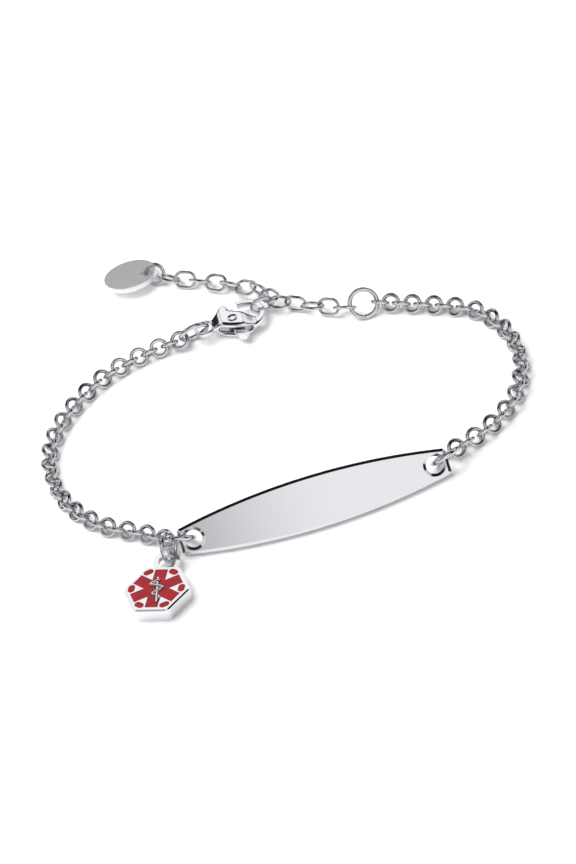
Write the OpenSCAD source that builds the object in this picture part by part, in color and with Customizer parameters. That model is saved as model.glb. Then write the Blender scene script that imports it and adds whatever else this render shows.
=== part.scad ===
// Medical alert bracelet, fastened and lying on a flat surface, in millimetres.
// X runs along the plate, -Y is the plate's front, Z is up and the surface is at Z = 0.

/* [Round-link chain] */
// Outer diameter of a round link
link_d = 3; // [2.8:0.05:3.3]
// Wire of a round link
link_wire = 0.6; // [0.5:0.02:0.62]
// Clearance between two links that hang in each other
link_play = 0.12; // [0.1:0.01:0.16]

/* [Plate] */
// Length of the plate from end to end
plate_len = 39.8; // [38:0.2:42]
// Height of the plate at its middle
plate_h = 7.6; // [6.8:0.1:8.4]
// Height of the plate at its cut ends
plate_end_h = 3.7; // [3.5:0.1:4.4]
// Thickness of the plate
plate_t = 1.3; // [1:0.05:1.5]
// How far the bow of the plate stands out at its middle
plate_bow = 2.2; // [1.6:0.1:2.8]
// How far the plate leans back from upright, in degrees
plate_lean = 41; // [36:1:46]
// Radius of the plate's corners
plate_corner_r = 0.5; // [0.3:0.1:0.8]
// Diameter of the holes at the plate's ends
plate_hole_d = 2.5; // [2.4:0.05:2.7]
// Distance of each hole's middle from the plate's end
plate_hole_in = 2.05; // [2:0.05:2.2]

/* [Jump rings] */
// Outer diameter of the two plate rings and the clasp's ring
ring_d = 5; // [4.9:0.05:5.3]
// Wire of the two plate rings and the clasp's ring
ring_wire = 0.76; // [0.7:0.02:0.78]
// Outer diameter of the big end ring
end_ring_d = 4.8; // [4.6:0.1:5.2]
// Wire of the big end ring
end_ring_wire = 0.72; // [0.64:0.02:0.76]
// Width of the open seam in the big end ring
end_ring_seam = 0.08; // [0.05:0.01:0.12]
// Outer diameter of the charm's ring
charm_ring_d = 4.6; // [4.5:0.05:4.8]
// Wire of the charm's ring
charm_ring_wire = 0.6; // [0.5:0.02:0.64]
// Outer diameter of the tag's ring
tag_ring_d = 3.6; // [3.4:0.05:3.9]
// Wire of the tag's ring
tag_ring_wire = 0.6; // [0.5:0.02:0.66]

/* [Extension chain] */
// Outer length of an oval link
oval_len = 3.85; // [3.75:0.05:4.1]
// Outer width of an oval link
oval_w = 2.8; // [2.7:0.05:3]
// Wire of an oval link
oval_wire = 0.5; // [0.42:0.02:0.52]

/* [Clasp] */
// Thickness of the clasp's body
clasp_t = 2.8; // [2.6:0.1:3]
// Radius of the clasp's round end
clasp_r = 3.35; // [3.2:0.05:3.5]
// Distance from the middle of the eye to the middle of the round end
clasp_reach = 6.1; // [5.9:0.1:6.4]
// Radius of the space inside the hook
hook_in_r = 2.4; // [2.3:0.05:2.45]
// Thickness of the hook
hook_t = 0.9; // [0.8:0.02:1]
// Outer radius of the clasp's eye
eye_r = 1.65; // [1.6:0.05:1.75]
// Radius of the hole in the clasp's eye
eye_hole_r = 1.12; // [1.1:0.02:1.16]
// Thickness of the clasp's eye
eye_t = 0.8; // [0.7:0.05:0.9]
// Radius of the rivet that the lever turns on
pin_r = 0.4; // [0.35:0.01:0.45]
// Thickness of the lever
lever_t = 0.8; // [0.7:0.05:0.9]
// Clearance of the lever in its slot, on each face
lever_play = 0.08; // [0.06:0.01:0.12]

/* [Charm] */
// Width of the charm across its corners
charm_w = 10; // [9.6:0.1:10.6]
// Thickness of the charm
charm_t = 2.2; // [2:0.1:2.6]
// Width of the bevel round the charm's face
charm_bevel = 0.2; // [0.1:0.05:0.3]
// Width of the steel rim round the enamel
charm_rim = 0.6; // [0.5:0.05:0.7]
// Depth of the enamel
enamel_depth = 0.35; // [0.25:0.05:0.5]
// Width of the star's bars
star_bar = 1.9; // [1.8:0.05:2]
// Height of the serpent and staff above the enamel
relief_h = 0.2; // [0.15:0.05:0.3]
// Outer radius of the charm's bail
bail_r = 1.95; // [1.9:0.05:2.1]
// Radius of the hole in the bail
bail_hole_r = 1.2; // [1.15:0.05:1.25]
// Thickness of the bail
bail_t = 0.7; // [0.6:0.05:0.75]

/* [Tag] */
// Diameter of the round tag
tag_d = 8.1; // [7.6:0.1:8.6]
// Thickness of the round tag
tag_t = 0.9; // [0.8:0.05:1]
// Radius of the hole in the tag
tag_hole_r = 0.8; // [0.75:0.05:0.9]
// Distance of the tag's hole from the tag's edge
tag_hole_in = 1.4; // [1.3:0.05:1.6]
// How far the tag's near edge is raised, in degrees
tag_tilt = 10; // [6:1:12]

/* [Hidden] */
$fn = 48;

steel = "gainsboro";
satin_steel = "silver";
enamel_red = "crimson";

// Shift that puts the origin in the middle of the whole, on the surface
middle = [0.36, -0.34, 0];
// Clearance between pieces that are seated in each other
seat = 0.02;
// Overlap that lets a cut run clear of a face
over = 0.5;

// The chosen points that the left chain runs through, from the clasp's ring to the plate's ring
left_points = [[-18, 16.9], [-25, 14.2], [-30.8, 9.1], [-34.4, 3], [-35.4, -3.5], [-34, -10.6],
    [-30.2, -16.8], [-24.7, -21.2]];
// The chosen points that the right chain runs through, from the plate's ring to the end ring
right_points = [[26.9, -21.1], [31.6, -16.9], [34.2, -11], [34.6, -5], [33, 1], [29.2, 5.9]];
// The chosen points of the oval links from the hook to the end ring, before the last
bridge_points = [[3.8, 19.2, 1.35], [8.1, 16.35, 1.3]];
// How far each of those links is turned about the chain, in degrees
bridge_turns = [0, 80, -22, 58];
// The chosen points of the oval links from the hook to the tag's ring, before the last
tail_points = [[2.6, 20.6, 2], [1.4, 23, 1.75], [-1.2, 25.4, 1.35], [-5.5, 28.8, 1.3]];
// How far each of those links is turned about the chain, in degrees
tail_turns = [0, 80, -18, 62, -36, 45, -52];

// Direction with a heading in the plane and a rise above it
function heading(az, rise = 0) = [cos(az) * cos(rise), sin(az) * cos(rise), sin(rise)];
// Heading and rise of a vector
function az_of(v) = atan2(v.y, v.x);
function rise_of(v) = atan2(v.z, norm([v.x, v.y]));
// Direction from a ring's middle to its wire, at an angle round the ring
function on_ring(az, rise, turn, angle) = let (
    ahead = heading(az, rise),
    side = heading(az + 90),
    up = cross(ahead, side))
    cos(angle) * ahead + sin(angle) * (cos(turn) * side + sin(turn) * up);

// A point at share t between b and c on the smooth curve through a, b, c and d
function curve_at(a, b, c, d, t) =
    0.5 * (2 * b + t * (c - a) + t * t * (2 * a - 5 * b + 4 * c - d) + t * t * t * (3 * b - a - 3 * c + d));
// The smooth curve through a list of points, as many short steps
curve_steps = 12;
function curve(p) = let (n = len(p))
    [for (i = [0:n - 2], k = [0:curve_steps - 1])
        curve_at(p[max(i - 1, 0)], p[i], p[i + 1], p[min(i + 2, n - 1)], k / curve_steps),
     p[n - 1]];
// Length of a curve up to each of its points
function lengths(c, i = 0, sum = 0) =
    i == len(c) - 1 ? [sum] : concat([sum], lengths(c, i + 1, sum + norm(c[i + 1] - c[i])));
// The point of a curve at a length along it
function along(c, s, at) = [for (k = [0:2]) lookup(at, [for (i = [0:len(c) - 1]) [s[i], c[i][k]]])];
// Height of a link's middle when it rests on the surface, from its sizes, rise and turn
function rest_z(r, half, wire, rise, turn) =
    r * sqrt(1 - pow(cos(turn) * cos(rise), 2)) + half * abs(sin(rise)) + wire / 2;
// Places of links at even steps along a route, none of them below the surface, as
// [point, heading, rise, turn]. A link is given as [radius, half its straight part, wire].
function places(points, steps, turns, link) =
    let (c = curve(points), s = lengths(c), all = s[len(s) - 1])
    [for (i = [0:steps]) let (
        p = along(c, s, all * i / steps),
        ahead = along(c, s, min(all, all * (i + 0.5) / steps)),
        behind = along(c, s, max(0, all * (i - 0.5) / steps)),
        v = ahead - behind,
        turn = turns[i % len(turns)],
        low = rest_z(link[0], link[1], link[2], rise_of(v), turn))
        [[p.x, p.y, max(p.z, low)], az_of(v), rise_of(v), turn]];
// Place of a link that hangs in a ring: the wire's angle round the ring, then the way the link points
function hung(at, az, rise, turn, angle, r, reach, dir) = let (
    square = cross(on_ring(az, rise, turn, 0), on_ring(az, rise, turn, 90)),
    up = cross(dir, heading(az_of(dir) + 90)))
    [at + r * on_ring(az, rise, turn, angle) + reach * dir, az_of(dir), rise_of(dir),
        atan2(square * up, square * heading(az_of(dir) + 90))];
// The same places with another first and last link
function with_ends(first, list, last) =
    concat([first], [for (i = [1:len(list) - 2]) list[i]], [last]);
function curve_length(points) = let (s = lengths(curve(points))) s[len(s) - 1];

// Middle of the wire of each ring
ring_r = (ring_d - ring_wire) / 2;
end_ring_r = (end_ring_d - end_ring_wire) / 2;
charm_ring_r = (charm_ring_d - charm_ring_wire) / 2;
tag_ring_r = (tag_ring_d - tag_ring_wire) / 2;
link_r = (link_d - link_wire) / 2;
oval_r = (oval_w - oval_wire) / 2;
oval_half = (oval_len - oval_w) / 2;
round_link = [link_r, 0, link_wire];
oval_link = [oval_r, oval_half, oval_wire];
// Distance between the middles of two rings that hang taut in each other
function taut(r1, w1, r2, w2) = r1 + r2 - (w1 + w2) / 2 - link_play;
link_pitch = taut(link_r, link_wire, link_r, link_wire);
oval_pitch = taut(oval_r, oval_wire, oval_r, oval_wire) + 2 * oval_half;
// Height of a link's middle when it leans halfway over on the surface
link_z = link_r * sin(45) + link_wire / 2;

// Plate: the arcs of its outline and of its bow
plate_half = plate_len / 2;
bow_r = (plate_half * plate_half + plate_bow * plate_bow) / (2 * plate_bow);
outline_rise = (plate_h - plate_end_h) / 2;
outline_r = (plate_half * plate_half + outline_rise * outline_rise) / (2 * outline_rise);
outline_off = outline_r - plate_h / 2;
corner_x = plate_half - plate_corner_r;
corner_y = sqrt(pow(outline_r - plate_corner_r, 2) - corner_x * corner_x) - outline_off;
// Height of the lower back edge below the plate's middle, at a distance along it
function edge_drop(x) = (sqrt(outline_r * outline_r - x * x) - outline_off) * cos(plate_lean)
    + (bow_r - sqrt(bow_r * bow_r - x * x) + plate_t / 2) * sin(plate_lean);
plate_z = max([for (i = [0:20]) edge_drop(corner_x * i / 20)]);
plate_y = -27.5;
// Turns a point of the plate's own frame (along, up its face, out of its face) into the part's frame
function on_plate(p) = [p.x, plate_y + p.y * sin(plate_lean) - p.z * cos(plate_lean),
    plate_z + p.y * cos(plate_lean) + p.z * sin(plate_lean)];
hole_x = plate_half - plate_hole_in;
hole_back = bow_r - sqrt(bow_r * bow_r - hole_x * hole_x);
hole_turn = asin(hole_x / bow_r);
function hole_at(side) = on_plate([side * hole_x, 0, -hole_back]);

// Plate rings: heading and rise from the hole to the chain, and turn about that heading
left_ring_az = 158;
right_ring_az = 28;
plate_ring_rise = -4;
plate_ring_turn = 42;
ring_to_link = taut(ring_r, ring_wire, link_r, link_wire) - ring_r;
left_ring_at = hole_at(-1) + ring_r * heading(left_ring_az, plate_ring_rise);
right_ring_at = hole_at(1) + ring_r * heading(right_ring_az, plate_ring_rise);
// The chain's end links hang a little below the middle of each ring
hang = 17;
left_end = hung(left_ring_at, left_ring_az, plate_ring_rise, plate_ring_turn, -hang, ring_r,
    ring_to_link, heading(148, -6));
right_end = hung(right_ring_at, right_ring_az, plate_ring_rise, -plate_ring_turn, hang, ring_r,
    ring_to_link, heading(29, -6));

// Clasp: it lies on its flat side, with the eye's middle here
eye_at = [-8, 18.2, clasp_t / 2];
hook_mid = eye_at + [clasp_reach, 0.2, 0];
// Its ring stands on the surface and leans forward, so the eye and the chain are on its lower half
clasp_ring_az = 190;
clasp_ring_turn = 60;
clasp_ring_z = ring_r * sin(clasp_ring_turn) + ring_wire / 2;
clasp_ring_eye = asin((clasp_ring_z - eye_at.z) / (ring_r * sin(clasp_ring_turn)));
clasp_ring_link = -24;
clasp_ring_at = eye_at + 0.12 * heading(-18) - ring_r * on_ring(clasp_ring_az, 0, clasp_ring_turn, 180 + clasp_ring_eye);
clasp_end = hung(clasp_ring_at, clasp_ring_az, 0, clasp_ring_turn, clasp_ring_link, ring_r, ring_to_link,
    heading(181, -10));

// End ring: it leans back like the plate
end_ring_lean = 41;
end_ring_at = [15.6, 12.6, end_ring_r * cos(end_ring_lean) + end_ring_wire / 2];
end_ring_to_link = taut(end_ring_r, end_ring_wire, link_r, link_wire) - end_ring_r;
end_ring_to_oval = taut(end_ring_r, end_ring_wire, oval_r, oval_wire) + oval_half - end_ring_r;
// Its plane holds the X axis, and the chains pull on its two sides
end_ring_first = hung(end_ring_at, 0, 0, 90 - end_ring_lean, -12, end_ring_r, end_ring_to_link,
    heading(-16, -12));
end_ring_last = hung(end_ring_at, 0, 0, 90 - end_ring_lean, 180, end_ring_r, end_ring_to_oval,
    heading(146, -10));

// Chains: the routes, and the places of all links
function level(points) = [for (p = points) [p.x, p.y, link_z]];
left_route = concat([clasp_end[0]], level(left_points), [left_end[0]]);
right_route = concat([right_end[0]], level(right_points), [end_ring_first[0]]);
left_places = with_ends(clasp_end,
    places(left_route, ceil(curve_length(left_route) / link_pitch), [-45, 45], round_link), left_end);
right_places = with_ends(right_end,
    places(right_route, ceil(curve_length(right_route) / link_pitch), [45, -45], round_link), end_ring_first);

// Extension chain: the link that the hook holds stands upright across the hook
hook_link_az = 5;
hook_link_at = hook_mid + 3.3 * heading(19) + [0, 0, 0.2];
bridge_route = concat(bridge_points, [end_ring_last[0]]);
bridge_steps = ceil(curve_length(bridge_route) / oval_pitch);
bridge_all = places(bridge_route, bridge_steps, bridge_turns, oval_link);
bridge_places = with_ends(bridge_all[0], bridge_all, end_ring_last);

// Tag: it lies with its near edge raised on its ring, which stands on the surface
tag_at = [-16.6, 35.7, tag_d / 2 * sin(tag_tilt) + tag_t / 2 * cos(tag_tilt)];
tag_hole_az = -25;
tag_hole_out = tag_d / 2 - tag_hole_in;
tag_hole_at = tag_at + [tag_hole_out * cos(tag_hole_az), tag_hole_out * sin(tag_hole_az) * cos(tag_tilt),
    -tag_hole_out * sin(tag_hole_az) * sin(tag_tilt)];
tag_ring_az = -32;
tag_ring_turn = 60;
tag_ring_to_oval = taut(tag_ring_r, tag_ring_wire, oval_r, oval_wire) + oval_half - tag_ring_r;
tag_ring_z = tag_ring_r * sin(tag_ring_turn) + tag_ring_wire / 2;
tag_ring_hole = asin((tag_ring_z - tag_hole_at.z) / (tag_ring_r * sin(tag_ring_turn)));
tag_ring_at = tag_hole_at - tag_ring_r * on_ring(tag_ring_az, 0, tag_ring_turn, 180 + tag_ring_hole);
tail_end = hung(tag_ring_at, tag_ring_az, 0, tag_ring_turn, -14, tag_ring_r, tag_ring_to_oval,
    heading(-38, -8));
tail_route = concat(tail_points, [tail_end[0]]);
tail_steps = ceil(curve_length(tail_route) / oval_pitch);
tail_all = places(tail_route, tail_steps, tail_turns, oval_link);
tail_places = with_ends(tail_all[0], tail_all, tail_end);

// Charm: it lies flat, with its bail towards the left plate ring
charm_r = charm_w / 2;
charm_at = [-24.75, -34.3, 0];
charm_az = 67.6;
charm_apothem = charm_r * cos(30);
bail_out = charm_apothem + 1.75;
bail_z = 1.2;
bail_at = charm_at + bail_out * heading(charm_az) + [0, 0, bail_z];
// Its ring stands on the surface, with its wire through the bail's hole
charm_ring_az = 60;
charm_ring_turn = 82;
charm_ring_z = charm_ring_r * sin(charm_ring_turn) + charm_ring_wire / 2;
charm_ring_low = asin((charm_ring_z - bail_z) / (charm_ring_r * sin(charm_ring_turn)));
charm_ring_at = bail_at + 0.25 * heading(charm_ring_az)
    - charm_ring_r * on_ring(charm_ring_az, 0, charm_ring_turn, 180 + charm_ring_low);
enamel_r = charm_r - charm_rim / cos(30);
petal_out = charm_r * 0.74;
petal_r = 0.5;
petal_half = 0.25;

// A round ring of wire that lies flat round the origin
module wire_ring(r, wire) {
    rotate_extrude() translate([r, 0]) circle(d = wire);
}

// An oval ring of wire, long along X, flat round the origin
module oval_ring() {
    for (side = [-1, 1]) {
        translate([side * oval_half, 0, 0])
            rotate([0, 0, side > 0 ? -90 : 90])
                rotate_extrude(angle = 180) translate([oval_r, 0]) circle(d = oval_wire);
        translate([-oval_half, side * oval_r, 0])
            rotate([0, 90, 0]) cylinder(d = oval_wire, h = 2 * oval_half);
    }
}

// Puts a flat ring at a point, with its X axis on a heading and rise, turned about that axis
module set_at(p, az, rise, turn) {
    translate(p + middle) rotate([0, 0, az]) rotate([0, -rise, 0]) rotate([turn, 0, 0]) children();
}

module id_plate() {
    color(steel)
    translate([0, plate_y, plate_z] + middle)
    rotate([90 - plate_lean, 0, 0])
    difference() {
        intersection() {
            translate([0, 0, -plate_bow - plate_t]) linear_extrude(plate_bow + 2 * plate_t) plate_outline();
            translate([0, plate_h, -bow_r]) rotate([90, 0, 0]) difference() {
                cylinder(r = bow_r + plate_t / 2, h = 2 * plate_h, $fn = 720);
                translate([0, 0, -over])
                    cylinder(r = bow_r - plate_t / 2, h = 2 * plate_h + 2 * over, $fn = 720);
            }
        }
        for (side = [-1, 1])
            translate([side * hole_x, 0, -hole_back]) rotate([0, side * hole_turn, 0])
                cylinder(d = plate_hole_d, h = 4 * plate_t, center = true);
    }
}

module plate_outline() {
    intersection() {
        square([2 * corner_x, plate_h], center = true);
        lens();
    }
    square([plate_len, 2 * corner_y], center = true);
    for (x = [-corner_x, corner_x], y = [-corner_y, corner_y]) translate([x, y]) circle(r = plate_corner_r);
}

module lens() {
    intersection() {
        translate([0, -outline_off]) circle(r = outline_r, $fn = 720);
        translate([0, outline_off]) circle(r = outline_r, $fn = 720);
    }
}

module plate_ring_left() {
    color(steel) set_at(left_ring_at, left_ring_az, plate_ring_rise, plate_ring_turn)
        wire_ring(ring_r, ring_wire);
}

module plate_ring_right() {
    color(steel) set_at(right_ring_at, right_ring_az, plate_ring_rise, -plate_ring_turn)
        wire_ring(ring_r, ring_wire);
}

module clasp_ring() {
    color(steel) set_at(clasp_ring_at, clasp_ring_az, 0, clasp_ring_turn) wire_ring(ring_r, ring_wire);
}

module chain_left() {
    color(steel) for (p = left_places) set_at(p[0], p[1], p[2], p[3]) wire_ring(link_r, link_wire);
}

module chain_right() {
    color(steel) for (p = right_places) set_at(p[0], p[1], p[2], p[3]) wire_ring(link_r, link_wire);
}

// The big ring's seam faces down and to the front
module end_ring() {
    color(steel) translate(end_ring_at + middle) rotate([90 - end_ring_lean, 0, 0]) difference() {
        wire_ring(end_ring_r, end_ring_wire);
        rotate([0, 0, -105]) translate([end_ring_r, 0, 0])
            cube([2 * end_ring_wire, end_ring_seam, 2 * end_ring_wire], center = true);
    }
}

module extension_chain() {
    color(steel) {
        set_at(hook_link_at, hook_link_az, 0, 90) oval_ring();
        for (p = bridge_places) set_at(p[0], p[1], p[2], p[3]) oval_ring();
        for (p = tail_places) set_at(p[0], p[1], p[2], p[3]) oval_ring();
    }
}

// Clasp, drawn in its own frame: the eye's middle is the origin and the hook lies along +X
neck_r = 1;
neck_x = 1.4;
round_y = hook_mid.y - eye_at.y;
neck_slant = atan2(round_y, clasp_reach - neck_x);
neck_open = acos((neck_r - clasp_r) / norm([clasp_reach - neck_x, round_y]));
slot_t = lever_t + 2 * lever_play;
slot_from_x = 2;
slot_to_x = 7;
pivot = [4.4, -1];
pin_play = 0.05;
lever_arm = 3;
lever_arm_az = 87;
lever_tip_r = 0.4;
lever_hub_r = 0.85;
tab_end = [5.3, -4.1];
mouth_from = 103;
mouth_to = 139;

module clasp_outline() {
    up = neck_slant + neck_open;
    down = neck_slant - neck_open;
    translate([neck_x, 0]) circle(r = neck_r);
    translate([clasp_reach, round_y]) circle(r = clasp_r);
    polygon([for (a = [up, down]) [neck_x, 0] + neck_r * [cos(a), sin(a)],
        for (a = [down, up]) [clasp_reach, round_y] + clasp_r * [cos(a), sin(a)]]);
}

// The space inside the hook, with its mouth
module hook_space() {
    intersection() {
        translate([clasp_reach, round_y]) circle(r = hook_in_r);
        polygon([[4.1, 1.3], [8.4, -1.2], [12, 0], [12, 6], [2, 6]]);
    }
    translate([clasp_reach, round_y])
        polygon([[0, 0], 2 * clasp_r * [cos(mouth_from), sin(mouth_from)],
            2 * clasp_r * [cos(mouth_to), sin(mouth_to)]]);
}

// The body's thickness, seen from the side: thick at the rivet, thin at the hook and eye
module clasp_side() {
    thick = clasp_t / 2;
    thin = hook_t / 2;
    eye_thick = eye_t / 2;
    polygon([[-over, -eye_thick], [1.2, -eye_thick], [2.6, -thick], [6, -thick], [7.6, -thin], [12, -thin],
        [12, thin], [7.6, thin], [6, thick], [2.6, thick], [1.2, eye_thick], [-over, eye_thick]]);
}

// The hook's arm above the body is thin all the way to its tip
module thin_hook_cut() {
    for (side = [0, 1]) mirror([0, 0, side])
        translate([0, 0, hook_t / 2]) linear_extrude(clasp_t)
            polygon([[5.1, 6], [5.1, 1.9], [5.6, 1.5], [12, 1.5], [12, 6]]);
}

module clasp_body() {
    color(steel) translate(eye_at + middle) difference() {
        union() {
            intersection() {
                translate([0, 0, -clasp_t]) linear_extrude(2 * clasp_t) clasp_outline();
                rotate([90, 0, 0]) translate([0, 0, -10]) linear_extrude(20) clasp_side();
            }
            cylinder(r = eye_r, h = eye_t, center = true);
        }
        cylinder(r = eye_hole_r, h = clasp_t + over, center = true);
        translate([0, 0, -clasp_t]) linear_extrude(2 * clasp_t) hook_space();
        thin_hook_cut();
        translate([0, 0, -slot_t / 2]) linear_extrude(slot_t)
            polygon([[slot_from_x, -6], [slot_to_x, -6], [slot_to_x, -0.6], [5.2, 1], [4.8, 2.2], [3.6, 4],
                [slot_from_x, 4]]);
        translate(pivot) cylinder(r = pin_r + seat, h = clasp_t + over, center = true);
    }
}

module clasp_pin() {
    color(steel) translate(eye_at + middle + pivot3()) cylinder(r = pin_r, h = clasp_t - seat, center = true);
}

function pivot3() = [pivot.x, pivot.y, 0];

module clasp_lever() {
    tip = lever_arm * [cos(lever_arm_az), sin(lever_arm_az)];
    tab = tab_end - pivot;
    color(steel) translate(eye_at + middle + pivot3()) difference() {
        union() {
            cylinder(r = lever_hub_r, h = lever_t, center = true);
            translate(tip) cylinder(r = lever_tip_r, h = lever_t, center = true);
            lever_plate([tip + [-lever_tip_r, 0], tip + [lever_tip_r, 0], [lever_hub_r, 0], [-lever_hub_r, 0]]);
            lever_plate([[-0.6, -0.6], [0.7, -0.4], tab + [0.9, 0.2], tab + [0.3, -0.5], tab + [-0.7, -0.1]]);
        }
        cylinder(r = pin_r + pin_play, h = 2 * lever_t, center = true);
    }
}

module lever_plate(outline) {
    translate([0, 0, -lever_t / 2]) linear_extrude(lever_t) polygon(outline);
}

module tag_ring() {
    color(steel) set_at(tag_ring_at, tag_ring_az, 0, tag_ring_turn) wire_ring(tag_ring_r, tag_ring_wire);
}

module end_tag() {
    color(satin_steel) translate(tag_at + middle) rotate([-tag_tilt, 0, 0]) difference() {
        cylinder(d = tag_d, h = tag_t, center = true, $fn = 96);
        rotate([0, 0, tag_hole_az]) translate([tag_hole_out, 0, 0])
            cylinder(r = tag_hole_r, h = 2 * tag_t, center = true);
    }
}

module charm_ring() {
    color(steel) set_at(charm_ring_at, charm_ring_az, 0, charm_ring_turn)
        wire_ring(charm_ring_r, charm_ring_wire);
}

// Puts a piece in the charm's frame, with the bail on its +Y side
module on_charm() {
    translate(charm_at + middle) rotate([0, 0, charm_az - 90]) children();
}

module charm_body() {
    color(steel) on_charm() difference() {
        union() {
            intersection() {
                union() {
                    cylinder(r = charm_r, h = charm_t - charm_bevel, $fn = 6);
                    translate([0, 0, charm_t - charm_bevel])
                        cylinder(r = charm_r - charm_bevel, h = charm_bevel, $fn = 6);
                }
                cylinder(r = charm_r - charm_bevel, h = 2 * charm_t, $fn = 96);
            }
            translate([0, bail_out, bail_z - bail_t / 2]) cylinder(r = bail_r, h = bail_t);
            translate([-0.8, charm_apothem - over, bail_z - bail_t / 2]) cube([1.6, 2 * over, bail_t]);
        }
        translate([0, bail_out, 0]) cylinder(r = bail_hole_r, h = 4 * charm_t, center = true);
        translate([0, 0, charm_t - enamel_depth]) linear_extrude(charm_t) enamel_fields(0);
    }
}

// The six-bar star and the petals in the corners, drawn smaller by a clearance
module enamel_fields(less) {
    intersection() {
        circle(r = enamel_r - less, $fn = 6);
        for (a = [0, 60, 120]) rotate([0, 0, a]) square([star_bar - 2 * less, charm_w], center = true);
    }
    for (a = [0:60:300]) rotate([0, 0, a]) translate([petal_out, 0]) {
        for (side = [-1, 1]) translate([0, side * petal_half]) circle(r = petal_r - less, $fn = 24);
        square([2 * (petal_r - less), 2 * petal_half], center = true);
    }
}

module charm_enamel() {
    color(enamel_red) on_charm() translate([0, 0, charm_t - enamel_depth + seat])
        linear_extrude(enamel_depth - 3 * seat) enamel_fields(seat);
}

// The raised staff with a serpent that winds round it in three bends
module serpent_staff() {
    staff_top = 2.1;
    staff_foot = -2.6;
    color(steel) on_charm() translate([0, 0, charm_t - seat]) {
        linear_extrude(relief_h) translate([-0.13, staff_foot]) square([0.26, staff_top - staff_foot]);
        for (bend = [[0.75, 0.8, 100, 1], [-0.15, 0.62, 95, -1], [-0.95, 0.5, 95, 1]])
            translate([0, bend[0], 0]) linear_extrude(relief_h) serpent_bend(bend[1], bend[2], bend[3]);
        translate([-0.45, 1.3, 0]) cylinder(r = 0.32, h = relief_h, $fn = 20);
    }
}

// One bend of the serpent: an arc of a band, on the right or left of the staff
module serpent_bend(r, sweep, side) {
    wide = 0.3;
    steps = 12;
    polygon([for (i = [0:steps]) let (a = -sweep + 2 * sweep * i / steps)
            [side * r * cos(a) - side * r * 0.2, 0.72 * r * sin(a)],
        for (i = [steps:-1:0]) let (a = -sweep + 2 * sweep * i / steps)
            [side * (r - wide) * cos(a) - side * r * 0.2, 0.72 * (r - wide) * sin(a)]]);
}

id_plate();
plate_ring_left();
plate_ring_right();
chain_left();
chain_right();
clasp_ring();
clasp_body();
clasp_pin();
clasp_lever();
end_ring();
extension_chain();
tag_ring();
end_tag();
charm_ring();
charm_body();
charm_enamel();
serpent_staff();
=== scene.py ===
import math

import bmesh
import bpy
import numpy as np
from mathutils import Matrix, Vector


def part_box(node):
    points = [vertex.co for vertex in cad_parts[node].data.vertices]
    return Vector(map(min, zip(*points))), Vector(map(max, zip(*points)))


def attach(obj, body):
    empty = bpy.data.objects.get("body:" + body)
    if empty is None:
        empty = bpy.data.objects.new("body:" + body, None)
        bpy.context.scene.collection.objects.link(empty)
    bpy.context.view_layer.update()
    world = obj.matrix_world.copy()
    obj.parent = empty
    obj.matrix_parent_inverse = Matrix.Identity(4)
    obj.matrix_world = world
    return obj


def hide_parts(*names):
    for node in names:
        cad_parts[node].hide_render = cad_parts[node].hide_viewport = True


bl_info = {
    "name": "Medical alert bracelet",
    "version": (1, 0, 0),
    "blender": (4, 5, 0),
    "location": "View3D > Sidebar > Bracelet",
    "description": "Dresses a fastened medical alert bracelet for a studio picture",
    "category": "Object",
}

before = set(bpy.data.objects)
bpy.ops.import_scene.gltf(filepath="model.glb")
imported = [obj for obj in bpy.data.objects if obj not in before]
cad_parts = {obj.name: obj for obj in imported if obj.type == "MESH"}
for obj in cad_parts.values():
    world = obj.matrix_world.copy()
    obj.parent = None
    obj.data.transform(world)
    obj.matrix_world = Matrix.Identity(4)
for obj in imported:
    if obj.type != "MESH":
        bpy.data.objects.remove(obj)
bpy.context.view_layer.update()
MM = 0.001
BODY = "bracelet"


def linear(hex_colour):
    """Linear RGBA of an sRGB hex colour."""
    parts = [int(hex_colour[i:i + 2], 16) / 255 for i in (0, 2, 4)]
    return [p / 12.92 if p <= 0.04045 else ((p + 0.055) / 1.055) ** 2.4 for p in parts] + [1.0]


def add(tree, kind, links=None, **settings):
    """Adds a node. Settings are its properties or, in a dict called inputs, its sockets' values."""
    node = tree.nodes.new(kind)
    for name, value in settings.pop("inputs", {}).items():
        node.inputs[name].default_value = value
    for name, value in settings.items():
        setattr(node, name, value)
    for name, source in (links or {}).items():
        tree.links.new(source, node.inputs[name])
    return node


def new_material(name):
    """A material without nodes, and its node tree."""
    material = bpy.data.materials.new(name)
    material.use_nodes = True
    material.node_tree.nodes.clear()
    return material, material.node_tree


def finish_material(tree, shader):
    """Joins the shader to a new output node."""
    add(tree, "ShaderNodeOutputMaterial", {"Surface": shader.outputs[0]})


def noise(tree, grain_mm, detail=2.0, stretch=(1, 1, 1)):
    """Noise in Object coordinates whose grain is about this many millimetres."""
    place = add(tree, "ShaderNodeTexCoord")
    scaled = add(tree, "ShaderNodeMapping", {"Vector": place.outputs["Object"]}, inputs={"Scale": stretch})
    return add(tree, "ShaderNodeTexNoise", {"Vector": scaled.outputs[0]},
               inputs={"Scale": 1 / (grain_mm * MM), "Detail": detail})


def metal(name, colour, low, high, grain_mm, depth_mm, stretch=(1, 1, 1)):
    """Bare steel: roughness wanders between low and high, and fine marks lie in the surface."""
    material, tree = new_material(name)
    cloud = noise(tree, grain_mm * 6)
    spread = add(tree, "ShaderNodeMapRange", {"Value": cloud.outputs[0]},
                 inputs={"To Min": low, "To Max": high})
    marks = noise(tree, grain_mm, 4.0, stretch)
    bump = add(tree, "ShaderNodeBump", {"Height": marks.outputs[0]},
               inputs={"Strength": 1.0, "Distance": depth_mm * MM})
    shader = add(tree, "ShaderNodeBsdfPrincipled",
                 {"Roughness": spread.outputs[0], "Normal": bump.outputs[0]},
                 inputs={"Base Color": linear(colour), "Metallic": 1.0})
    finish_material(tree, shader)
    return material


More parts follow.
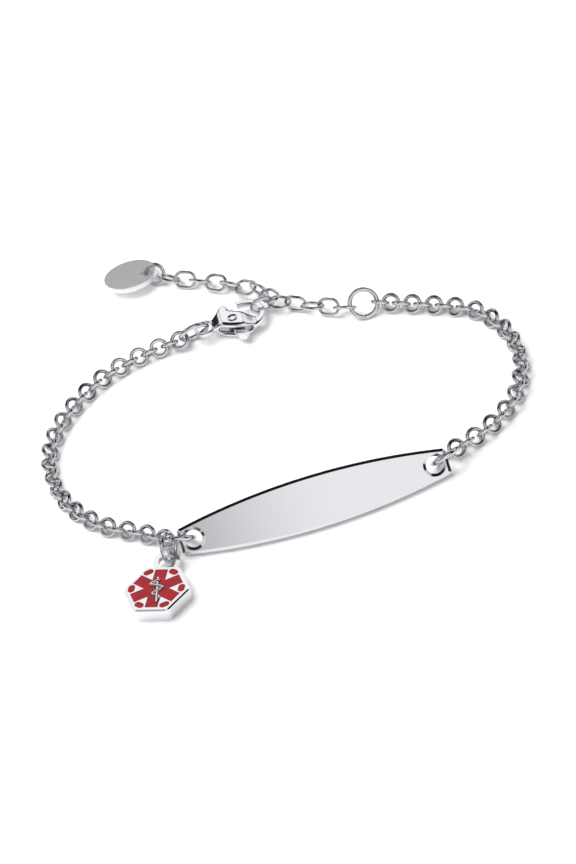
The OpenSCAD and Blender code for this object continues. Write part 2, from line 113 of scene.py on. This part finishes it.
def make_materials(colours):
    """All finishes, by the words used for them below."""
    made = {}
    # Stainless steel wire, tumbled to a bright finish: clear reflections with hard dark lines
    made["wire"] = metal("stainless_steel_tumbled", colours.wire, 0.04, 0.08, 0.5, 0.0006)
    # Stainless steel sheet, mirror polished on a wheel: a smooth pale face with a faint haze
    made["plate"] = metal("stainless_steel_mirror_polished", colours.plate, 0.10, 0.16, 1.5, 0.0003,
                          (1, 4, 4))
    # Stainless steel casting, polished: bright, with slightly softened reflections
    made["cast"] = metal("stainless_steel_cast_polished", colours.steel, 0.08, 0.16, 0.7, 0.001)
    # Stainless steel blank, satin brushed: an even grey with short marks along the chain's pull
    made["tag"] = metal("stainless_steel_satin_brushed", colours.tag, 0.55, 0.65, 0.3, 0.0015,
                        (0.2, 1.6, 1))
    # Fired enamel, ground and polished: deep red glass, darker where it is thick, with a clear gloss
    enamel, tree = new_material("vitreous_enamel_red")
    cloud = noise(tree, 1.6, 3.0)
    mixed = add(tree, "ShaderNodeMix", {"Factor": cloud.outputs[0]}, data_type="RGBA",
                inputs={6: linear(colours.enamel_dark), 7: linear(colours.enamel)})
    ripple = noise(tree, 0.8, 2.0)
    bump = add(tree, "ShaderNodeBump", {"Height": ripple.outputs[0]},
               inputs={"Distance": 0.004 * MM})
    finish_material(tree, add(tree, "ShaderNodeBsdfPrincipled",
                              {"Base Color": mixed.outputs[2], "Normal": bump.outputs[0]},
                              inputs={"Roughness": 0.12, "IOR": 1.52, "Specular IOR Level": 0.25}))
    made["enamel"] = enamel
    # Photographer's white acrylic sheet: an even white ground
    sheet, tree = new_material("white_acrylic_sheet")
    grain = noise(tree, 40.0, 1.0)
    tone = add(tree, "ShaderNodeMapRange", {"Value": grain.outputs[0]},
               inputs={"To Min": 0.55, "To Max": 0.6})
    finish_material(tree, add(tree, "ShaderNodeBsdfPrincipled", {"Roughness": tone.outputs[0]},
                              inputs={"Base Color": linear("FFFFFF"), "Specular IOR Level": 0.1}))
    made["ground"] = sheet
    return made


def dress(obj, material):
    """Gives the whole of a mesh one material."""
    obj.data.materials.clear()
    obj.data.materials.append(material)
    obj.data.polygons.foreach_set("material_index", [0] * len(obj.data.polygons))


def put(name, data):
    """A new object in the scene."""
    obj = bpy.data.objects.new(name, data)
    bpy.context.scene.collection.objects.link(obj)
    return obj


def add_piece(name, mesh, material, node):
    """A finished piece at the origin, which moves with the bracelet and stands for a CAD node."""
    obj = put(name, mesh)
    dress(obj, MATERIALS[material])
    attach(obj, BODY)
    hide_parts(node)


def plain_mesh(obj, name):
    """The evaluated object as a plain mesh, after which the object is gone."""
    shown = obj.evaluated_get(bpy.context.evaluated_depsgraph_get())
    mesh = bpy.data.meshes.new_from_object(shown)
    mesh.name = name
    bpy.data.objects.remove(obj)
    return mesh


def merged_copy(node):
    """A copy of a CAD node's mesh with its loose triangles joined."""
    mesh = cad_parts[node].data.copy()
    shape = bmesh.new()
    shape.from_mesh(mesh)
    bmesh.ops.remove_doubles(shape, verts=shape.verts, dist=0.002 * MM)
    shape.to_mesh(mesh)
    shape.free()
    return mesh


class BRACELET_PG_colours(bpy.types.PropertyGroup):
    steel: bpy.props.StringProperty(name="Steel", description="Polished castings, sRGB hex",
                                    default="DEDEE2")
    wire: bpy.props.StringProperty(name="Wire", description="Tumbled chain wire, sRGB hex",
                                   default="C6C6CA")
    plate: bpy.props.StringProperty(name="Plate", description="Mirror polished plate, sRGB hex",
                                    default="D2D2D6")
    tag: bpy.props.StringProperty(name="Tag", description="Satin tag, sRGB hex", default="F4F4F6")
    enamel: bpy.props.StringProperty(name="Enamel", description="Enamel where it is thin, sRGB hex",
                                     default="A80818")
    enamel_dark: bpy.props.StringProperty(name="Deep enamel", default="6A0612",
                                          description="Enamel where it is thick, sRGB hex")


class BRACELET_PG_wire(bpy.types.PropertyGroup):
    link: bpy.props.FloatProperty(name="Link", description="Across a round link", default=3.0 * MM,
                                  unit="LENGTH")
    link_wire: bpy.props.FloatProperty(name="Link wire", description="Wire of a round link",
                                       default=0.6 * MM, unit="LENGTH")
    oval_length: bpy.props.FloatProperty(name="Oval length", description="Length of an extension link",
                                         default=3.85 * MM, unit="LENGTH")
    oval_width: bpy.props.FloatProperty(name="Oval width", description="Width of an extension link",
                                        default=2.8 * MM, unit="LENGTH")
    oval_wire: bpy.props.FloatProperty(name="Oval wire", description="Wire of an extension link",
                                       default=0.5 * MM, unit="LENGTH")
    ring: bpy.props.FloatProperty(name="Jump ring", description="Across a plate or clasp ring",
                                  default=5.0 * MM, unit="LENGTH")
    ring_wire: bpy.props.FloatProperty(name="Ring wire", description="Wire of a jump ring",
                                       default=0.76 * MM, unit="LENGTH")
    charm_ring: bpy.props.FloatProperty(name="Charm ring", description="Across the charm's ring",
                                        default=4.6 * MM, unit="LENGTH")
    tag_ring: bpy.props.FloatProperty(name="Tag ring", description="Across the tag's ring",
                                      default=3.6 * MM, unit="LENGTH")
    small_wire: bpy.props.FloatProperty(name="Small wire", description="Wire of the small rings",
                                        default=0.6 * MM, unit="LENGTH")


class BRACELET_PG_plate(bpy.types.PropertyGroup):
    length: bpy.props.FloatProperty(name="Length", description="Plate from end to end",
                                    default=39.8 * MM, unit="LENGTH")
    height: bpy.props.FloatProperty(name="Height", description="Plate at its middle",
                                    default=7.6 * MM, unit="LENGTH")
    end_height: bpy.props.FloatProperty(name="End height", description="Plate at its cut ends",
                                        default=3.7 * MM, unit="LENGTH")
    thick: bpy.props.FloatProperty(name="Thickness", description="Thickness of the plate",
                                   default=1.3 * MM, unit="LENGTH")
    bow: bpy.props.FloatProperty(name="Bow", description="How far the middle stands out",
                                 default=2.2 * MM, unit="LENGTH")
    lean: bpy.props.FloatProperty(name="Lean", description="How far it leans back",
                                  default=math.radians(41), subtype="ANGLE")
    corner: bpy.props.FloatProperty(name="Corners", description="Radius of the corners",
                                    default=0.5 * MM, unit="LENGTH")
    hole: bpy.props.FloatProperty(name="Holes", description="Diameter of the holes",
                                  default=2.5 * MM, unit="LENGTH")
    hole_in: bpy.props.FloatProperty(name="Hole distance", description="From the end to a hole's middle",
                                     default=2.05 * MM, unit="LENGTH")
    chamfer: bpy.props.FloatProperty(name="Chamfer", description="Width of the polished edge",
                                     default=0.42 * MM, unit="LENGTH")
    chamfer_depth: bpy.props.FloatProperty(name="Chamfer depth", description="Depth of the polished edge",
                                           default=0.22 * MM, unit="LENGTH")


class BRACELET_PG_clasp(bpy.types.PropertyGroup):
    eye: bpy.props.FloatVectorProperty(name="Eye", description="Middle of the clasp's eye", size=3,
                                       default=(-7.64 * MM, 17.86 * MM, 1.4 * MM), subtype="TRANSLATION")
    body_rounds: bpy.props.IntProperty(name="Body rounding", description="Smoothing rounds on the body",
                                       default=230)
    edge_rounds: bpy.props.IntProperty(name="Edge rounding", description="Smoothing rounds on all edges",
                                       default=24)


class BRACELET_PG_studio(bpy.types.PropertyGroup):
    key: bpy.props.FloatProperty(name="Key light", description="Power of the soft box", default=4.0,
                                 unit="POWER")
    tent: bpy.props.FloatProperty(name="Panels", description="Brightness of the white panels", default=1.0)
    room: bpy.props.FloatProperty(name="Room", description="Brightness of the dark room", default=0.02)
    elevation: bpy.props.FloatProperty(name="Elevation", description="Camera's elevation",
                                       default=math.radians(41), subtype="ANGLE")
    roll: bpy.props.FloatProperty(name="Roll", description="Camera's roll", default=math.radians(17),
                                  subtype="ANGLE")
    lens: bpy.props.FloatProperty(name="Lens", description="Focal length in mm", default=301.9)
    distance: bpy.props.FloatProperty(name="Distance", description="Camera's distance", default=0.7,
                                      unit="LENGTH")
    aim: bpy.props.FloatVectorProperty(name="Aim", description="Point that the camera looks at", size=3,
                                       default=(-0.29 * MM, -8.34 * MM, 0.0), subtype="TRANSLATION")


def arc(centre, radius, start, end, steps):
    """Points on an arc, with both its ends."""
    return [(centre[0] + radius * math.cos(start + (end - start) * i / steps),
             centre[1] + radius * math.sin(start + (end - start) * i / steps)) for i in range(steps + 1)]


def plate_outline(p):
    """The plate's outline: two wide arcs, cut ends and rounded corners."""
    half = p.length / 2
    rise = (p.height - p.end_height) / 2
    wide = (half * half + rise * rise) / (2 * rise)
    drop = wide - p.height / 2
    inner_x = half - p.corner
    inner_y = math.sqrt((wide - p.corner) ** 2 - inner_x ** 2) - drop
    tilt = math.asin(inner_x / (wide - p.corner))
    top = arc((0, -drop), wide, math.pi / 2 - tilt, math.pi / 2 + tilt, 80)
    quarter = arc((inner_x, inner_y), p.corner, 0, math.pi / 2 - tilt, 8)
    upper = quarter[:-1] + top + [(-x, y) for x, y in reversed(quarter[:-1])]
    return upper + [(-x, -y) for x, y in upper]


class BRACELET_OT_plate(bpy.types.Operator):
    """Bowed, lens-shaped plate with a polished chamfer round its edge and its two holes"""
    bl_idname = "bracelet.plate"
    bl_label = "Name plate"

    def execute(self, context):
        p = context.scene.bracelet_plate
        curve = bpy.data.curves.new("plate_outline", "CURVE")
        curve.dimensions = "2D"
        curve.fill_mode = "BOTH"
        curve.extrude = p.thick / 2 - p.chamfer
        curve.bevel_depth = p.chamfer
        curve.bevel_resolution = 0
        curve.offset = -p.chamfer
        hole_x = p.length / 2 - p.hole_in
        sides = 48
        loops = [plate_outline(p)]
        loops += [arc((side * hole_x, 0), p.hole / 2, 2 * math.pi, 2 * math.pi / sides, sides - 1)
                  for side in (-1, 1)]
        for points in loops:
            spline = curve.splines.new("POLY")
            spline.points.add(len(points) - 1)
            for point, (x, y) in zip(spline.points, points):
                point.co = (x, y, 0, 1)
            spline.use_cyclic_u = True
        mesh = plain_mesh(put("plate_outline", curve), "id_plate_polished")
        shape = bmesh.new()
        shape.from_mesh(mesh)
        bmesh.ops.remove_doubles(shape, verts=shape.verts, dist=0.001 * MM)
        # A flatter chamfer than the curve gives: as wide, but about half as deep
        for vert in shape.verts:
            if abs(vert.co.z) < p.thick / 2 - p.chamfer / 2:
                vert.co.z = math.copysign(p.thick / 2 - p.chamfer_depth, vert.co.z)
        # Cut into slices, so that it can be bowed
        slices = 96
        for i in range(1, slices):
            x = -p.length / 2 + p.length * i / slices
            everything = shape.verts[:] + shape.edges[:] + shape.faces[:]
            bmesh.ops.bisect_plane(shape, geom=everything, plane_co=(x, 0, 0), plane_no=(1, 0, 0),
                                   dist=1e-7)
        bow_r = (p.length ** 2 / 4 + p.bow ** 2) / (2 * p.bow)
        for vert in shape.verts:
            vert.co.z += math.sqrt(bow_r ** 2 - vert.co.x ** 2) - bow_r
        bmesh.ops.recalc_face_normals(shape, faces=shape.faces)
        low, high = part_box("id_plate")
        # Leaned back, and put where the CAD plate's box is
        turned = Matrix.Rotation(math.pi / 2 - p.lean, 4, "X")
        bmesh.ops.transform(shape, matrix=turned, verts=shape.verts)
        lowest = min(v.co.z for v in shape.verts)
        front = min(v.co.y for v in shape.verts)
        shift = Vector(((low[0] + high[0]) / 2, low[1] - front, low[2] - lowest))
        bmesh.ops.translate(shape, vec=shift, verts=shape.verts)
        for face in shape.faces:
            face.smooth = True
        shape.to_mesh(mesh)
        shape.free()
        mesh.set_sharp_from_angle(angle=math.radians(20))
        add_piece("id_plate_polished", mesh, "plate", "id_plate")
        return {"FINISHED"}


def link_places(node):
    """The middle and the turn of each link in a CAD node: X along the link, Z square to it."""
    shape = bmesh.new()
    shape.from_mesh(merged_copy(node))
    left = set(shape.verts)
    places = []
    while left:
        island = [left.pop()]
        for vert in island:
            for edge in vert.link_edges:
                other = edge.other_vert(vert)
                if other in left:
                    left.remove(other)
                    island.append(other)
        points = np.array([vert.co[:] for vert in island])
        spread = points - points.mean(axis=0)
        square, _, along = np.linalg.eigh(spread.T @ spread)[1].T
        axes = np.array([along, np.cross(square, along), square])
        reach = spread @ axes.T
        middle = points.mean(axis=0) + ((reach.min(axis=0) + reach.max(axis=0)) / 2) @ axes
        places.append((Vector(middle), Matrix(axes.tolist()).transposed().to_euler()))
    shape.free()
    return places


def ramp(value, start, end):
    """From 0 at the start to 1 at the end, and no further."""
    return min(1.0, max(0.0, (value - start) / (end - start)))


def link_tree():
    """Geometry nodes that set one bent and welded wire link at each point."""
    tree = bpy.data.node_groups.new("wire_links", "GeometryNodeTree")
    face = tree.interface
    face.new_socket("Places", in_out="INPUT", socket_type="NodeSocketGeometry")
    for label in ("Length", "Width", "Wire"):
        face.new_socket(label, in_out="INPUT", socket_type="NodeSocketFloat")
    face.new_socket("Finish", in_out="INPUT", socket_type="NodeSocketMaterial")
    face.new_socket("Links", in_out="OUTPUT", socket_type="NodeSocketGeometry")
    given = add(tree, "NodeGroupInput").outputs
    half_wire = add(tree, "ShaderNodeMath", {0: given["Wire"]}, operation="MULTIPLY", inputs={1: 0.5})
    # A circle along the wire's middle, whose halves are then drawn apart for an oval link
    bend = add(tree, "ShaderNodeMath", {0: given["Width"], 1: given["Wire"]}, operation="SUBTRACT")
    bend = add(tree, "ShaderNodeMath", {0: bend.outputs[0]}, operation="MULTIPLY", inputs={1: 0.5})
    ring = add(tree, "GeometryNodeCurvePrimitiveCircle", {"Radius": bend.outputs[0]},
               inputs={"Resolution": 36})
    spot = add(tree, "GeometryNodeInputPosition")
    split = add(tree, "ShaderNodeSeparateXYZ", {0: spot.outputs[0]})
    side = add(tree, "ShaderNodeMath", {0: split.outputs["X"]}, operation="SIGN")
    longer = add(tree, "ShaderNodeMath", {0: given["Length"], 1: given["Width"]}, operation="SUBTRACT")
    longer = add(tree, "ShaderNodeMath", {0: longer.outputs[0]}, operation="MULTIPLY", inputs={1: 0.5})
    shift = add(tree, "ShaderNodeMath", {0: side.outputs[0], 1: longer.outputs[0]}, operation="MULTIPLY")
    offset = add(tree, "ShaderNodeCombineXYZ", {"X": shift.outputs[0]})
    path = add(tree, "GeometryNodeSetPosition",
               {"Geometry": ring.outputs[0], "Offset": offset.outputs[0]})
    round_wire = add(tree, "GeometryNodeCurvePrimitiveCircle", {"Radius": half_wire.outputs[0]},
                     inputs={"Resolution": 16})
    wire = add(tree, "GeometryNodeCurveToMesh",
               {"Curve": path.outputs[0], "Profile Curve": round_wire.outputs[0]})
    turn = add(tree, "GeometryNodeInputNamedAttribute", data_type="FLOAT_VECTOR",
               inputs={"Name": "turn"})
    links = add(tree, "GeometryNodeInstanceOnPoints",
                {"Points": given["Places"], "Instance": wire.outputs[0], "Rotation": turn.outputs[0]})
    whole = add(tree, "GeometryNodeRealizeInstances", {"Geometry": links.outputs[0]})
    smooth = add(tree, "GeometryNodeSetShadeSmooth", {"Geometry": whole.outputs[0]})
    finish = add(tree, "GeometryNodeSetMaterial",
                 {"Geometry": smooth.outputs[0], "Material": given["Finish"]})
    add(tree, "NodeGroupOutput", {"Links": finish.outputs[0]})
    return tree


class BRACELET_OT_wire(bpy.types.Operator):
    """Round wire links of both chains and the extension, and the jump rings between them"""
    bl_idname = "bracelet.wire"
    bl_label = "Chains and rings"

    def execute(self, context):
        p = context.scene.bracelet_wire
        # Node, and its links' length, width and wire
        rows = (("chain_left", p.link, p.link, p.link_wire),
                ("chain_right", p.link, p.link, p.link_wire),
                ("extension_chain", p.oval_length, p.oval_width, p.oval_wire),
                ("plate_ring_left", p.ring, p.ring, p.ring_wire),
                ("plate_ring_right", p.ring, p.ring, p.ring_wire),
                ("clasp_ring", p.ring, p.ring, p.ring_wire),
                ("tag_ring", p.tag_ring, p.tag_ring, p.small_wire),
                ("charm_ring", p.charm_ring, p.charm_ring, p.small_wire))
        tree = link_tree()
        keys = {item.name: item.identifier for item in tree.interface.items_tree
                if item.in_out == "INPUT"}
        for node, length, width, wire in rows:
            places = link_places(node)
            mesh = bpy.data.meshes.new(node + "_places")
            mesh.from_pydata([middle for middle, turn in places], [], [])
            turns = mesh.attributes.new("turn", "FLOAT_VECTOR", "POINT")
            for item, (middle, turn) in zip(turns.data, places):
                item.vector = turn[:]
            obj = put(node + "_places", mesh)
            links = obj.modifiers.new("Links", "NODES")
            links.node_group = tree
            links[keys["Length"]] = length
            links[keys["Width"]] = width
            links[keys["Wire"]] = wire
            links[keys["Finish"]] = MATERIALS["wire"]
            add_piece(node + "_wire", plain_mesh(obj, node + "_wire"), "wire", node)
        # The end ring keeps its CAD shape, which has the cut where the ring is opened
        ring = merged_copy("end_ring")
        ring.shade_smooth()
        ring.set_sharp_from_angle(angle=math.radians(50))
        add_piece("end_ring_wire", ring, "wire", "end_ring")
        return {"FINISHED"}


class BRACELET_OT_clasp(bpy.types.Operator):
    """Cast clasp body with softened edges, and its rivet and lever"""
    bl_idname = "bracelet.clasp"
    bl_label = "Lobster clasp"

    def execute(self, context):
        p = context.scene.bracelet_clasp
        solid = merged_copy("clasp_body")
        # Worked on in millimetres, because a remesh has a smallest voxel
        solid.transform(Matrix.Scale(1 / MM, 4))
        obj = put("clasp_cast", solid)
        remesh = obj.modifiers.new("Cast skin", "REMESH")
        remesh.mode = "VOXEL"
        remesh.voxel_size = 0.07
        skin = plain_mesh(obj, "clasp_cast")
        obj = put("clasp_cast", skin)
        # The thick body is rounded like a drop, and the thin hook and eye only lose their sharp edges
        body = obj.vertex_groups.new(name="body")
        eye = Vector(p.eye) / MM
        for vert in skin.vertices:
            x, y = vert.co.x - eye.x, vert.co.y - eye.y
            weight = min(ramp(x, 1.3, 2.6), ramp(x, 8.2, 7.0), ramp(y, 2.3, 1.5))
            body.add([vert.index], weight, "REPLACE")
        for name, rounds, group in (("Drop", p.body_rounds, "body"),
                                    ("Soft edges", p.edge_rounds, "")):
            smooth = obj.modifiers.new(name, "SMOOTH")
            smooth.factor = 0.5
            smooth.iterations = rounds
            smooth.vertex_group = group
        mesh = plain_mesh(obj, "clasp_cast")
        mesh.transform(Matrix.Scale(MM, 4))
        mesh.shade_smooth()
        add_piece("clasp_cast", mesh, "cast", "clasp_body")
        for name in ("clasp_pin", "clasp_lever"):
            dress(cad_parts[name], MATERIALS["cast"])
        return {"FINISHED"}


class BRACELET_OT_tag(bpy.types.Operator):
    """Round satin tag at the free end"""
    bl_idname = "bracelet.tag"
    bl_label = "End tag"

    def execute(self, context):
        obj = put("tag_blank", merged_copy("end_tag"))
        bevel = obj.modifiers.new("Tumbled edge", "BEVEL")
        bevel.width = 0.12 * MM
        bevel.segments = 3
        bevel.limit_method = "ANGLE"
        bevel.angle_limit = math.radians(60)
        mesh = plain_mesh(obj, "end_tag_satin")
        mesh.shade_smooth()
        mesh.set_sharp_from_angle(angle=math.radians(35))
        add_piece("end_tag_satin", mesh, "tag", "end_tag")
        return {"FINISHED"}


class BRACELET_OT_charm(bpy.types.Operator):
    """Hexagonal charm with its enamel fields and its raised serpent and staff"""
    bl_idname = "bracelet.charm"
    bl_label = "Enamel charm"

    def execute(self, context):
        dress(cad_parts["charm_body"], MATERIALS["cast"])
        dress(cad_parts["charm_enamel"], MATERIALS["enamel"])
        middle, turn = link_places("serpent_staff")[0]
        low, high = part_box("serpent_staff")
        level = (low[2] + high[2]) / 2
        axis = turn.to_matrix() @ Vector((1, 0, 0))
        axis = axis if axis.y > 0 else -axis
        across = Vector((axis.y, -axis.x, 0)).normalized()
        curve = bpy.data.curves.new("serpent_and_staff", "CURVE")
        curve.dimensions = "3D"
        curve.bevel_depth = 0.24 * MM
        curve.bevel_resolution = 3
        curve.use_fill_caps = True
        # Each point: millimetres along the staff and to its side, and the share of the full thickness.
        # The serpent grows thicker and wider in two turns, and ends in a head that looks to the side.
        steps = 48
        winding = []
        for i in range(steps + 1):
            t = i / steps
            swing = 0.4 + 0.6 * t if t < 0.9 else 0.9
            side = swing * math.sin(2 * math.pi * 2.0 * t + 0.2)
            winding.append((-2.1 + 3.9 * t, side, 0.55 + 0.7 * t))
        winding += [(1.7, -0.15, 1.3), (1.5, -0.55, 0.7)]
        rod = [(-2.5 + 4.9 * i / 8, 0.0, 0.6) for i in range(9)]
        for points in (winding, rod):
            spline = curve.splines.new("POLY")
            spline.points.add(len(points) - 1)
            for point, (far, out, thick) in zip(spline.points, points):
                spot = middle + axis * far * MM + across * out * MM
                point.co = (spot.x, spot.y, level, 1)
                point.radius = thick
        mesh = plain_mesh(put("serpent_and_staff", curve), "serpent_and_staff")
        # Struck low: the round wire becomes a flat relief with soft shoulders
        for vert in mesh.vertices:
            vert.co.z = level + 0.4 * (vert.co.z - level)
        mesh.shade_smooth()
        add_piece("serpent_and_staff", mesh, "cast", "serpent_staff")
        return {"FINISHED"}


class BRACELET_OT_stage(bpy.types.Operator):
    """White ground, white panels in a dark room, a soft box, and the camera"""
    bl_idname = "bracelet.stage"
    bl_label = "Stage"

    def execute(self, context):
        s = context.scene.bracelet_studio
        ground = bpy.data.meshes.new("ground")
        half = 0.6
        ground.from_pydata([(-half, -half, 0), (half, -half, 0), (half, half, 0), (-half, half, 0)], [],
                           [(0, 1, 2, 3)])
        floor = put("ground", ground)
        dress(floor, MATERIALS["ground"])

        world = context.scene.world or bpy.data.worlds.new("tent")
        context.scene.world = world
        world.use_nodes = True
        tree = world.node_tree
        tree.nodes.clear()
        way = add(tree, "ShaderNodeTexCoord").outputs["Generated"]
        # White panels in a dark room: polished edges get their black lines from the room between them.
        # Each panel: its direction, the cosines at its rim and where it is full, and its brightness.
        panels = (((0.0, -0.78, 0.62), 0.72, 0.82, 0.95),
                  ((0.22, -0.74, 0.62), 0.82, 0.985, 0.6),
                  ((0.0, 0.79, 0.60), 0.965, 0.982, 1.5),
                  ((-0.52, 0.62, 0.56), 0.94, 0.97, 1.4),
                  ((0.52, 0.62, 0.56), 0.94, 0.97, 1.4),
                  ((-0.85, -0.1, 0.5), 0.93, 0.96, 1.3),
                  ((0.88, 0.1, 0.45), 0.95, 0.97, 1.1))
        total = add(tree, "ShaderNodeValue").outputs[0]
        total.default_value = s.room
        for toward, edge, full, bright in panels:
            near = add(tree, "ShaderNodeVectorMath", {0: way}, operation="DOT_PRODUCT",
                       inputs={1: Vector(toward).normalized()})
            shade = add(tree, "ShaderNodeMapRange", {"Value": near.outputs["Value"]},
                        inputs={"From Min": edge, "From Max": full, "To Max": bright * s.tent})
            total = add(tree, "ShaderNodeMath", {0: total, 1: shade.outputs[0]},
                        operation="ADD").outputs[0]
        shader = add(tree, "ShaderNodeBackground", {"Strength": total})
        add(tree, "ShaderNodeOutputWorld", {"Surface": shader.outputs[0]})

        lamp = bpy.data.lights.new("soft_box", "AREA")
        lamp.shape = "DISK"
        lamp.size = 0.6
        lamp.energy = s.key
        box = put("soft_box", lamp)
        box.location = (-0.22, 0.16, 0.5)
        box.visible_glossy = False
        box.rotation_euler = (Vector((0, 0, 0)) - box.location).to_track_quat("-Z", "Y").to_euler()

        right = Vector((1, 0, 0))
        up = Vector((0, math.sin(s.elevation), math.cos(s.elevation)))
        away = Vector((0, -math.cos(s.elevation), math.sin(s.elevation)))
        across = math.cos(s.roll) * right - math.sin(s.roll) * up
        above = math.sin(s.roll) * right + math.cos(s.roll) * up
        lens = bpy.data.cameras.new("camera")
        lens.sensor_fit = "HORIZONTAL"
        lens.sensor_width = 36.0
        lens.lens = s.lens
        lens.clip_start = 0.01
        camera = put("camera", lens)
        turn = Matrix((across, above, away)).transposed().to_4x4()
        camera.matrix_world = Matrix.Translation(Vector(s.aim) + away * s.distance) @ turn
        context.scene.camera = camera
        context.scene.view_settings.view_transform = "Standard"
        return {"FINISHED"}


class BRACELET_PT_panel(bpy.types.Panel):
    """Lists the bracelet's pieces"""
    bl_label = "Bracelet"
    bl_idname = "BRACELET_PT_panel"
    bl_space_type = "VIEW_3D"
    bl_region_type = "UI"
    bl_category = "Bracelet"

    def draw(self, context):
        for name in STEPS:
            self.layout.operator("bracelet." + name)


GROUPS = {"bracelet_colours": BRACELET_PG_colours, "bracelet_clasp": BRACELET_PG_clasp,
          "bracelet_wire": BRACELET_PG_wire, "bracelet_plate": BRACELET_PG_plate,
          "bracelet_studio": BRACELET_PG_studio}
OPERATORS = (BRACELET_OT_stage, BRACELET_OT_wire, BRACELET_OT_plate, BRACELET_OT_clasp, BRACELET_OT_tag,
             BRACELET_OT_charm)
STEPS = ("stage", "wire", "plate", "clasp", "tag", "charm")
MATERIALS = {}


def register():
    for name, group in GROUPS.items():
        bpy.utils.register_class(group)
        setattr(bpy.types.Scene, name, bpy.props.PointerProperty(type=group))
    for kind in OPERATORS + (BRACELET_PT_panel,):
        bpy.utils.register_class(kind)


def unregister():
    for kind in (BRACELET_PT_panel,) + OPERATORS:
        bpy.utils.unregister_class(kind)
    for name, group in GROUPS.items():
        delattr(bpy.types.Scene, name)
        bpy.utils.unregister_class(group)


def main():
    register()
    MATERIALS.update(make_materials(bpy.context.scene.bracelet_colours))
    bpy.ops.bracelet.stage()
    bpy.ops.bracelet.wire()
    bpy.ops.bracelet.plate()
    bpy.ops.bracelet.clasp()
    bpy.ops.bracelet.tag()
    bpy.ops.bracelet.charm()


if __name__ == "__main__":
    main()
